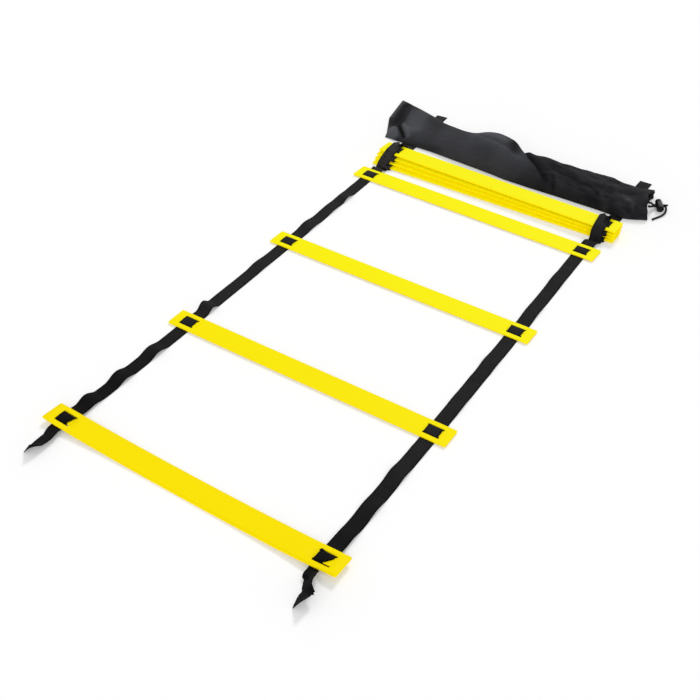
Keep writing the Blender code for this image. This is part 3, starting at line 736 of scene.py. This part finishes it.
folds = {
    "place": (0.03174, 0.30146, 0.0013),
    "yaw": -0.9,
    "fan": 2.2,  # degrees by which the stack's slats fan out
    "layers": 4,
    "pitch": 0.005,
    "stagger": 0.004,
    "edge": 0.0181,  # how far a loop reaches from a rung's middle
    "slotOffset": 0.0075,
    "overLevel": 0.0029,
    "standOff": 0.0036,  # from the loops to the front run before them
    "bulge": 0.0016,
    "foot": (0.003, 0.0002, 0.0016),  # how far it reaches out, lift, radius
    "front": ((0.35, 0.008), (0.75, 0.006)),  # share of the front run's height, radius
    "crest": (0.004, 0.0003, 0.006),  # how far it reaches in, lift, radius
    "crestWidths": (0.96, 0.94),
    "slotRadius": 0.0011,
    "slotSway": 0.4,  # share of a loop's shift left in the slots
    "exit": 0.022,
    # Sideways shift: foot, shoulder, top run, then each loop from the top one down
    "sway": {"left": (-0.003, -0.002, -0.0064, 0.0016, 0.0034, 0.0022, 0.0026),
             "right": (0.0, -0.0008, -0.0056, 0.0016, 0.0034, 0.0022, 0.0024)},
    "reach": {"left": (0.0, 0.002, 0.0014, 0.002), "right": (0.0, 0.004, 0.0012, 0.003)},
    "narrow": {"left": 0.96, "right": 0.95},  # width share of the top run
    "hump": 0.0046,
    "tailEnd": {"left": (-0.1689, 0.4974), "right": (0.2234, 0.4838)},
    "tailSteps": 56,
    "tailLevel": 0.0005,
    "tailArch": (0.0004, 0.9, 0.12),  # height, place and reach as shares of the length
}
slotShadeTuck = {  # the webbing's folded-in edge, also a dark piece standing in for the shade in the slot's end; distances from the middles of strap and rung
    "outwards": 0.0064,
    "start": 0.004,
    "step": 0.0016,
    "rings": 9,
    "drop": 0.0002,
    "width": 0.44,
}


def layerMiddle(layer, side):
    turn = radians(folds["fan"]) * (0.5 - layer / (folds["layers"] - 1))
    return layer * folds["stagger"] + side * slats["strapCentre"] * tan(turn)


def foldedRoute(sideName, side):
    under, edge, pitch = slats["underLevel"], folds["edge"], folds["pitch"]
    sway, reach = folds["sway"][sideName], folds["reach"][sideName]
    top = folds["layers"] * pitch + under
    low = Vector((layerMiddle(0, side) - edge - folds["standOff"], under))
    high = Vector((layerMiddle(2, side) - edge - folds["standOff"], under + 2 * pitch))
    high += (high - low) * (top - high.y) / (high.y - low.y)
    out = Vector((low.y - high.y, high.x - low.x)).normalized() * folds["bulge"]
    (footReach, footLift, footBend), (crestReach, crestLift, crestBend) = folds["foot"], folds["crest"]
    corners = [(low.x - footReach, under + footLift, 0), (low.x, under, footBend)]
    corners += [(*(low.lerp(high, share) + out), radius) for share, radius in folds["front"]]
    corners.append((high.x + crestReach, top + crestLift, crestBend))
    sways = [(0.0, 1.0), (sway[0], 1.0), (sway[0], 1.0)] + [(sway[1], width) for width in folds["crestWidths"]]
    direction, above = -1, top
    for layer in reversed(range(folds["layers"])):
        loop = folds["layers"] - 1 - layer
        middle, offset = layerMiddle(layer, side), direction * folds["slotOffset"]
        turn = middle - direction * (edge + reach[loop])
        level, over = layer * pitch + under, layer * pitch + folds["overLevel"]
        shift = sway[3 + loop]
        corners += [(turn, above, pitch / 2), (turn, level, pitch / 2)]
        corners += [(middle + step, height, folds["slotRadius"])
                    for step, height in ((-offset, level), (-offset, over), (offset, over), (offset, level))]
        sways += [(sway[2], folds["narrow"][sideName]) if loop == 0 else (shift, 1.0), (shift, 1.0)]
        sways += [(shift * folds["slotSway"], 1.0)] * 4
        direction, above = -direction, level
    corners.append((layerMiddle(folds["layers"] - 1, side) + folds["exit"], under, 0))
    sways.append((0.0, 1.0))
    place = Matrix.Translation(folds["place"]) @ Matrix.Rotation(radians(folds["yaw"]), 4, "Z")
    flat = roundedRoute(corners, ribbon["foldStep"])
    spots = [Vector(corner[:2]) for corner in corners]
    lengths = [lengthOf(spots[:index + 1]) for index in range(len(spots))]
    total = lengthOf(flat)
    travelled = 0.0
    route = []
    for before, point in zip(flat[:1] + flat, flat):
        travelled += (point - before).length
        at = travelled / total * lengths[-1]
        step = min(max(i for i, length in enumerate(lengths) if length <= at + 1e-9), len(lengths) - 2)
        mix = (at - lengths[step]) / max(1e-9, lengths[step + 1] - lengths[step])
        shift, width = [a * (1 - mix) + b * mix for a, b in zip(sways[step], sways[step + 1])]
        route.append((place @ Vector((side * slats["strapCentre"] + shift, point.x, point.y)), 0.0, width))
    return route


def farTailRoute(sideName, start):
    end = Vector((*folds["tailEnd"][sideName], 0.0))
    steps = folds["tailSteps"]
    height, middle, reach = folds["tailArch"]
    route = []
    for step in range(1, steps + 1):
        point = start.lerp(end, step / steps)
        point.z = folds["tailLevel"] + height * bump(step / steps, middle, reach)
        route.append((point, 0.0, 1.0))
    return route


def slotShadeTuckUnder(bm):  # seen through the end of the slot, where it stands in for shade
    place = rungPlace(1)
    along = slats["strapCentre"] + slotShadeTuck["outwards"]
    route = []
    for step in range(slotShadeTuck["rings"]):
        y = slotShadeTuck["start"] - slotShadeTuck["step"] * step
        point = place @ Vector((along, y, slats["underLevel"] + bowAt(1, along, y) - slotShadeTuck["drop"]))
        route.append((point, -bowTilt(1, 1), slotShadeTuck["width"]))
    folded = sweepRing(ribbonRing(), placeStations(route))
    bm.from_mesh(meshFrom(folded, "slotShadeTuck"))


def fray(bm):  # pulls out every second ring of the torn stretch
    along, across = bm.verts.layers.float["along"], bm.verts.layers.float["across"]
    for vertex in bm.verts:
        x, y = vertex.co.xy
        if torn["from"] < y < torn["to"] and x > torn["beyond"] and abs(vertex[across]) > torn["edge"]:
            vertex.co += Vector(torn["pull"]) * (round(vertex[along] / ribbon["tailStep"]) % 2)


def ridePart(name, stations, body, stands=(), extra=None):  # webbing that goes with one body
    bm = sweepRing(ribbonRing(), stations)
    if extra:
        extra(bm)
    return finishPiece(bm, name, looks["webbing"], body, stands)


def bendPart(name, stations, bodies, low, high, stands=(), extra=None):  # bends or gathers between two
    piece = ridePart(name, stations, None, stands, extra)
    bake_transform(piece, *bodies, (0, low, 0), (0, high, 0))


def makeBay(name, number, sideName, side):  # from one rung over the crease to the next
    route = bayRoute(number, sideName, side)
    stations = placeStations(route)
    outer, inner = f"straps_{number}", f"straps_{number + 1}" if number < 3 else "stack"
    crease, reach = slats["creases"][number], slats["creaseReach"]
    first, last = [min(range(len(route)), key=lambda index: abs(route[index][0].y - crease - offset))
                   for offset in (-reach, reach)]
    low, high = route[first][0].y, route[last][0].y
    bendPart(f"{name}_bay_{number}_near", stations[:first + 1], (f"rung_{number}", outer),
             seamAt(number, side, 1).y, low, (f"strap_{sideName}_{number}",) if number > 1 else ())
    bendPart(f"{name}_bay_{number}", stations[first:last + 1], (outer, inner), low, high)
    bendPart(f"{name}_bay_{number}_far", stations[last:], (inner, f"rung_{number + 1}"),
             high, seamAt(number + 1, side, -1).y)


def makeWebbing(sideName, side):
    name, atRight = f"webbing_{sideName}", side > 0
    weave = weaveRoute(1, side, weaving["pinch"][sideName])
    tail = tailRoute(sideName, side, weave[0][0], weave[0][2])
    stations = placeStations(tail + weave)
    bendPart(f"{name}_tail", stations[:len(tail) + 1], ("straps_1", "rung_1"), tail[0][0].y,
             seamAt(1, side, -1).y, (f"strap_{sideName}_1",), fray if atRight else None)
    ridePart(f"{name}_rung_1", stations[len(tail):], "rung_1", (), slotShadeTuckUnder if atRight else None)
    for number in (1, 2, 3):
        makeBay(name, number, sideName, side)
        if number < 3:
            woven = placeStations(weaveRoute(number + 1, side))
            ridePart(f"{name}_rung_{number + 1}", woven, f"rung_{number + 1}")
    weave, stack = weaveRoute(4, side), foldedRoute(sideName, side)
    leave, land = weave[-1][0], stack[0][0]
    top = leave.lerp(land, 0.5) + Vector((0, 0, folds["hump"]))
    rise = [(point, 0.0, 1.0) for point in smoothRoute([leave, top, land], ribbon["riseStep"])[1:-1]]
    stations = placeStations(weave + rise + stack + farTailRoute(sideName, stack[-1][0]))
    landing = len(weave) + len(rise)
    ridePart(f"{name}_rung_4", stations[:len(weave)], "rung_4")
    bendPart(f"{name}_rise", stations[len(weave) - 1:landing + 1], ("rung_4", "stack"),
             seamAt(4, side, 1).y, land.y)
    ridePart(f"{name}_folded", stations[landing:], "stack",
             [f"strap_{sideName}_{end}" for end in ("4", "fold", "tail")])


makeBowedRung()
makeWebbing("left", -1)
makeWebbing("right", 1)
print("webbing threaded")

# Carry bag
bag = {
    "sections": (  # x, near edge, far edge, height, slant
        (-0.2371, 0.3742, 0.5114, 0.0049, -0.36), (-0.2128, 0.3737, 0.5, 0.0091, -0.3),
        (-0.174, 0.3732, 0.4838, 0.0119, -0.2), (-0.1304, 0.3736, 0.4645, 0.0151, -0.1),
        (-0.0819, 0.3709, 0.4575, 0.02, 0.0), (-0.0334, 0.3673, 0.461, 0.0334, 0.0),
        (0.002, 0.3644, 0.45, 0.0342, 0.0), (0.024, 0.3617, 0.442, 0.0262, 0.0),
        (0.0685, 0.3609, 0.4477, 0.0221, 0.0), (0.1267, 0.3614, 0.446, 0.021, -0.02),
        (0.1849, 0.361, 0.4465, 0.0208, -0.08), (0.2188, 0.3595, 0.4451, 0.0204, -0.14),
        (0.2343, 0.3659, 0.4465, 0.021, -0.18), (0.2479, 0.3757, 0.4505, 0.02, -0.2),
    ),
    "middleY": 0.44346,
    "floor": 0.0013,
    "layerGap": 0.0004,
    "fullness": 0.8,
    "hemWidth": 0.013,
    "around": 144,
    "ringSpacing": 0.002,
    "weld": 0.00002,
    "hold": 1.4,  # how soon folds rise above the turned edges
    "foldFade": 0.35,  # share of height lost at a fold's ends
    "foldShape": 1.35,
    "fullHighlightFold": 0.004,  # a fold this high gets the full painted highlight, valleys get painted shade
    # Folds in millimetres: start, end, height (below zero for a valley), reach to the left and right
    "folds": (
        ((-240, 486), (-215, 418), -4.6, 7, 7.5), ((-229, 479), (-203, 412), 3, 13, 4),
        ((-219, 410), (-196, 377), 3.4, 6, 9), ((-208.1, 411.1), (-180.9, 382), -5.2, 2.8, 2.8),
        ((-203, 414), (-175, 386), 3.6, 6, 2.8), ((-151, 470), (-135, 390), -1.2, 12, 12),
        ((-118, 460), (-108, 390), 1, 12, 12), ((-95, 434), (-60, 418), 1.6, 4, 10),
        ((-60, 418), (-24, 403), 2.4, 4, 10), ((-24, 403), (9, 396), 2.6, 4, 11),
        ((9, 396), (37, 393), 3, 4, 12), ((-58, 442), (-12, 434), 3, 12, 14),
        ((-1, 444), (40, 407), 4.5, 3, 19), ((40, 407), (87, 370), 5, 3, 17),
        ((7, 447), (46, 409.5), -7, 9, 3), ((46, 409.5), (92, 372), -7, 9, 3),
        ((27, 438), (40, 431), 4, 5, 6), ((100, 383), (115, 357), -4, 2.6, 2.6),
        ((105.5, 384), (120.5, 357), 3, 3.4, 2.6), ((62, 432), (135, 407), 3.2, 8, 6),
        ((118, 396), (164, 389), -3.4, 7, 5), ((153, 405), (181, 400), 3.4, 4, 6),
        ((181, 400), (205, 406), 2.6, 5, 4), ((172.5, 382), (188, 374), -4, 4.5, 3.5),
        ((179, 383), (206, 362), 3.6, 4, 3), ((223, 388), (240, 377), 2.8, 4, 3),
        ((222, 368), (246, 368), 2.2, 3, 3), ((130, 439), (190, 431), 2.2, 5, 7),
        ((190, 426), (234, 414), 2.8, 5, 5), ((200, 395), (235, 401), -2.6, 5, 5),
        ((138, 373), (164, 366), 2.2, 4, 4), ((82, 412), (112, 396), -2.6, 6, 6),
    ),
    # painted light on the cloth: its plain level and the least it falls to
    "plainPaintedLightAndGloss": 0.18,
    "leastPaintedLightAndGloss": 0.03,
    # Painted highlights and painted shade, where the cloth is also smoother or duller: start, end and reach in
    # millimetres, sharpness, amount
    "paintedLightAndGloss": (
        ((-150, 405), (0, 385), 50, 2, 0.36), ((-90, 372), (40, 365), 12, 2, 0.2),
        ((-199, 470), (-180, 415), 18, 3, 0.5), ((-237.5, 489), (-213, 415), 9, 4, -0.75),
        ((-259, 507), (-244, 440), 5.5, 3, 0.85), ((-218, 398), (-202, 379), 9, 3, 1.15),
        ((-207, 410), (-182, 383), 2.6, 4, -0.7), ((-199.5, 411), (-174.5, 385), 3.6, 3, 0.5),
        ((-56, 437), (-8, 424), 10, 2, 0.44), ((6, 434), (18, 406), 12, 2, -0.36),
        ((40, 418), (90, 372), 12, 2, -0.1), ((20, 376), (40, 368), 12, 2, -0.08),
        ((60, 408), (115, 402), 16, 2, -0.06), ((206, 395), (226, 383), 8, 2, 0.24),
        ((160, 369), (230, 364), 7, 2, -0.08), ((122.8, 372.5), (140.2, 392.7), 5, 2, 0.13),
        ((149, 401.7), (177.6, 418), 5, 2, 0.12), ((185.5, 376.8), (202.4, 360.9), 4, 2, 0.2),
        ((226.4, 382.6), (245, 373.9), 4.5, 2, 0.2), ((216.1, 367.7), (239.5, 359.6), 4.5, 2, 0.14),
        ((191.8, 397.1), (225, 397.5), 5, 2, -0.07),
    ),
}
sewn = {  # the closed end
    "bow": 0.0102,  # how far it bows outwards at its kink
    "bowReach": 0.045,  # the bow dies away over this length
    "farCorner": (0.5114, 0.0758),  # along Y: where the bow ends, its run
    "nearCorner": (0.408, 0.0276),
    "nearShare": 0.17,
    "flatReach": 0.016,
    "flattened": 0.75,
    "flatShape": 1.5,
}
rumples = {
    "base": 0.18,  # share at the closed end
    "start": 0.045,  # along X, where they begin to grow
    "run": 0.06,
    "quiet": (0.55, -0.45, 0.3),  # loss at the back, where it begins, its run
    "wide": (26, 50, 30),  # noise scales
    "wideHeight": 0.0026,
    "wideShift": 0.0012,
    "fine": (55, 105, 90),
    "fineSlant": 30,
    "fineHeight": 0.0014,
    # ruffles this high get the full painted highlight
    "crest": 0.003,
}
hem = {
    "overlap": 0.0006,
    "cuts": (16, 220),
    "swell": 0.0004,
    "pleats": (9, 2.2, 7.0, 0.8),  # how many half-pleats, unevenness, its changes, skew
    "pleatHeight": 0.0011,
    "pleatReach": 0.0006,
    "wide": (40, 70, 60),
    "wideHeight": 0.0018,
    # the hem's painted highlight, as a share of the plain level
    "paintedLightAndGloss": 1.15,
    "mouth": (  # share of the way to the far edge, reach beyond the last section
        (0.0, 0.005), (0.08, 0.002), (0.28, -0.001), (0.51, -0.0042), (0.74, -0.0008), (0.9, 0.003), (1.0, 0.003)),
    "inside": ((0.9, 0.0008), (0.72, 0.005), (0.4, 0.0075)),  # rings down the mouth: size, depth
    "rim": 0.004,
}


def bagRow(x):
    rows = bag["sections"]
    x = between(rows[0][0], x, rows[-1][0])
    index = max(i for i in range(len(rows) - 1) if rows[i][0] <= x + 1e-9)
    share = (x - rows[index][0]) / (rows[index + 1][0] - rows[index][0])
    padded = rows[:1] + rows + rows[-1:]
    return [curved(*values, share) for values in zip(*padded[index:index + 4])][1:]


def awayFrom(x, y, start, end):  # distance to a line, share along it, side
    runX, runY = end[0] - start[0], end[1] - start[1]
    offX, offY = x - start[0], y - start[1]
    share = between(0.0, (offX * runX + offY * runY) / (runX * runX + runY * runY), 1.0)
    return hypot(offX - runX * share, offY - runY * share), share, runX * offY - runY * offX


def foldHeight(x, y):
    total = 0.0
    for start, end, height, left, right in bag["folds"]:
        away, share, side = awayFrom(x * 1000, y * 1000, start, end)
        fade = 1.0 - bag["foldFade"] * abs(2 * share - 1) ** 2
        total += height * fade * exp(-(away / (left if side > 0 else right)) ** bag["foldShape"])
    return total / 1000


def bagPoint(x, turn, swell=0.0):  # turn: 0 to 1 over the top from the near edge, 1 to 2 back under
    near, far, crest, slant = bagRow(x)
    near, far, crest = near - swell, far + swell, crest + swell
    y, z, rise = far + (near - far) * (turn - 1.0), 0.0, 0.0
    if turn <= 1.0:
        angle = pi * (1 - turn)
        lean = copysign(abs(cos(angle)) ** bag["fullness"], cos(angle))
        rise = max(0.0, sin(angle)) ** bag["fullness"]
        y, z = (near + far) / 2 + (far - near) / 2 * lean, crest * rise
    return Vector((x + slant * (y - bag["middleY"]), y, bag["floor"] + z)), rise


def endBow(y, along):
    (farEnd, farRun), (nearEnd, nearRun) = sewn["farCorner"], sewn["nearCorner"]
    bow = max(0.0, min(1.0, (farEnd - y) / farRun, max(sewn["nearShare"], (y - nearEnd) / nearRun)))
    return sewn["bow"] * bow * max(0.0, 1 - along / sewn["bowReach"])


def sewnEnd(height, along):  # the closed end runs out flat
    share = max(0.0, 1 - along / sewn["flatReach"]) ** sewn["flatShape"]
    return bag["floor"] + (height - bag["floor"]) * (1 - sewn["flattened"] * share)


def paintedLightAndGlossAt(x, y):  # painted highlight and shade, and how smooth the cloth is
    total = bag["plainPaintedLightAndGloss"]
    for start, end, reach, sharpness, amount in bag["paintedLightAndGloss"]:
        total += amount * exp(-(awayFrom(x * 1000, y * 1000, start, end)[0] / reach) ** sharpness)
    return max(bag["leastPaintedLightAndGloss"], total)


def clothGrid(cuts):  # its points carry the painted light of the folds, and painted light with gloss
    bm = bmesh.new()
    bmesh.ops.create_grid(bm, x_segments=cuts[0], y_segments=cuts[1], size=1.0)
    return bm, bm.verts.layers.float.new("crest"), bm.verts.layers.float.new("paintedLightAndGloss")


def finishCloth(bm, name, stands):
    bmesh.ops.holes_fill(bm, edges=[edge for edge in bm.edges if edge.is_boundary], sides=0)
    finishPiece(bm, name, looks["cloth"], "carry_bag", stands)


def wideNoise(point, scale, octaves):
    return noise.fractal(Vector([a * b for a, b in zip(point, scale)]), 1.0, 2.0, octaves)


def makeBagShell():
    first, last = bag["sections"][0][0], bag["sections"][-1][0] - bag["hemWidth"]
    bm, crest, paintedLightAndGloss = clothGrid((round((last - first) / bag["ringSpacing"]), bag["around"]))
    fineX, fineY, fineZ = rumples["fine"]
    loss, backFrom, backRun = rumples["quiet"]
    for vertex in bm.verts:
        x = first + (last - first) * (vertex.co.x + 1) / 2
        point, rise = bagPoint(x, vertex.co.y + 1)
        point.x -= endBow(point.y, x - first)
        wide = wideNoise(point, rumples["wide"], 3)
        slanted = point.x * fineX + point.y * rumples["fineSlant"]
        fine = noise.ridged_multi_fractal(
            Vector((slanted, point.y * fineY, point.z * fineZ)), 1.0, 2.0, 3, 1.0, 2.0)
        held = min(1.0, rise * bag["hold"])
        raised = foldHeight(point.x, point.y)
        rumple = between(rumples["base"], (x - rumples["start"]) / rumples["run"], 1.0)
        quiet = 1.0 - loss * between(0.0, (vertex.co.y - backFrom) / backRun, 1.0)
        ruffled = rumple * quiet * (rumples["wideHeight"] * wide + rumples["fineHeight"] * (fine - 1.0))
        # painted highlight on fold and ruffle crests, painted shade in the valleys
        vertex[crest] = held * (raised / bag["fullHighlightFold"] + ruffled / rumples["crest"])
        # painted highlight and shade from the table, which also sets the gloss
        vertex[paintedLightAndGloss] = paintedLightAndGlossAt(point.x, point.y)
        point.z += held * (raised + ruffled)
        point.y += rise * rumple * rumples["wideShift"] * wide
        onTop = -0.999 < vertex.co.y < -0.001  # not on the turned edges
        point.z = max(point.z, bag["floor"] + (bag["layerGap"] if onTop else 0.0))
        point.z = sewnEnd(point.z, x - first)
        vertex.co = point
    bmesh.ops.remove_doubles(bm, verts=bm.verts[:], dist=bag["weld"])
    finishCloth(bm, "bag_body", ("bag_shell",))


def mouthReach(share):
    for (low, first), (high, second) in zip(hem["mouth"], hem["mouth"][1:]):
        if share <= high:
            return first + (second - first) * eased((share - low) / (high - low))


def makeBagHem():
    last, near, far = bag["sections"][-1][:3]
    start = last - bag["hemWidth"] - hem["overlap"]
    pleats, uneven, changes, skew = hem["pleats"]
    bm, crest, paintedLightAndGloss = clothGrid(hem["cuts"])
    for vertex in bm.verts:
        along = (vertex.co.x + 1) / 2
        turn = vertex.co.y + 1
        pleat = sin(turn * pi * pleats + uneven * sin(turn * changes) + along * skew)
        swell = hem["swell"] * sin(along * pi) ** 0.5 if 0 < along < 1 else 0.0
        point, rise = bagPoint(start + (last - start) * along, turn, swell)
        wide = wideNoise(point, hem["wide"], 2)
        raised = (hem["pleatHeight"] * pleat + hem["wideHeight"] * wide) * along + foldHeight(point.x, point.y)
        point.z = max(point.z + min(1.0, rise * bag["hold"]) * raised, bag["floor"])
        share = between(0.0, (point.y - near) / (far - near), 1.0)
        point.x += along ** 2 * (mouthReach(share) + hem["pleatReach"] * pleat)
        # painted highlight and shade along the pleats
        vertex[crest] = 0.5 * pleat * along
        vertex[paintedLightAndGloss] = hem["paintedLightAndGloss"] * bag["plainPaintedLightAndGloss"]
        vertex.co = point
    bmesh.ops.remove_doubles(bm, verts=bm.verts[:], dist=bag["weld"])
    bm.edges.ensure_lookup_table()
    for size, depth in hem["inside"]:
        rim = [edge for edge in bm.edges
               if edge.is_boundary and min(v.co.x for v in edge.verts) > start + hem["rim"]]
        verts = grow(bm, rim)[0]
        middle = sum((vertex.co for vertex in verts), Vector()) / len(verts)
        for vertex in verts:
            out = vertex.co - middle
            vertex.co = middle + Vector((out.x - depth, out.y * (0.5 + size / 2), out.z * size))
    finishCloth(bm, "bag_mouth_hem", ("bag_hem",))


makeBagShell()
makeBagHem()
print("bag laid down")

# Drawcord
drawcord = {
    "diameter": 0.0032,
    "step": 0.0008,
    "around": 16,
    "long": (
        (0.25674, 0.40102, 0.0105), (0.25987, 0.40165, 0.0105), (0.26072, 0.40532, 0.00911),
        (0.26148, 0.41029, 0.00719), (0.26225, 0.41403, 0.0058), (0.2647, 0.41539, 0.0058),
        (0.27004, 0.41835, 0.0058), (0.27537, 0.4213, 0.0058), (0.27782, 0.42266, 0.0058),
        (0.27954, 0.42096, 0.0049), (0.28174, 0.41596, 0.004), (0.28274, 0.41046, 0.0031),
        (0.28194, 0.40396, 0.0022), (0.27954, 0.39696, 0.0016), (0.27614, 0.38996, 0.0016),
        (0.27444, 0.38625, 0.0016), (0.27274, 0.38246, 0.0016)),
    "short": (
        (0.25454, 0.41202, 0.0105), (0.25767, 0.41265, 0.0105), (0.26046, 0.41727, 0.0058),
        (0.26291, 0.41863, 0.0058), (0.26825, 0.42158, 0.0058), (0.27358, 0.42454, 0.0058),
        (0.27603, 0.4259, 0.0058), (0.27997, 0.42808, 0.0058)),
}


def makeCord(name, route, node):
    radius, around = drawcord["diameter"] / 2, drawcord["around"]
    points = smoothRoute(route, drawcord["step"])
    angles = [2 * pi * step / around for step in range(around)]
    ring = [(radius * cos(angle), 0.0, radius * sin(angle)) for angle in angles]
    stations = []
    side = Vector((0, 0, 1))
    for index, point in enumerate(points):
        before, after = points[max(index - 1, 0)], points[min(index + 1, len(points) - 1)]
        along = (after - before).normalized()
        side = (side - along * side.dot(along)).normalized()
        stations.append(standing(side, along, point))
    bm = sweepRing(ring, stations)
    turn = bm.verts.layers.float.new("turn")
    for index, vertex in enumerate(bm.verts):
        local = stations[min(index // around, len(stations) - 1)].inverted() @ vertex.co
        vertex[turn] = atan2(local.z, local.x)
    piece = finishPiece(bm, name, looks["cord"], "carry_bag", (node,))
    return piece, points, lengthOf(points)


longCord, longPath, longLength = makeCord("cord_long_strand", drawcord["long"], "drawcord_long")
shortCord, shortPath, shortLength = makeCord("cord_short_strand", drawcord["short"], "drawcord_short")
print("drawcord drawn")
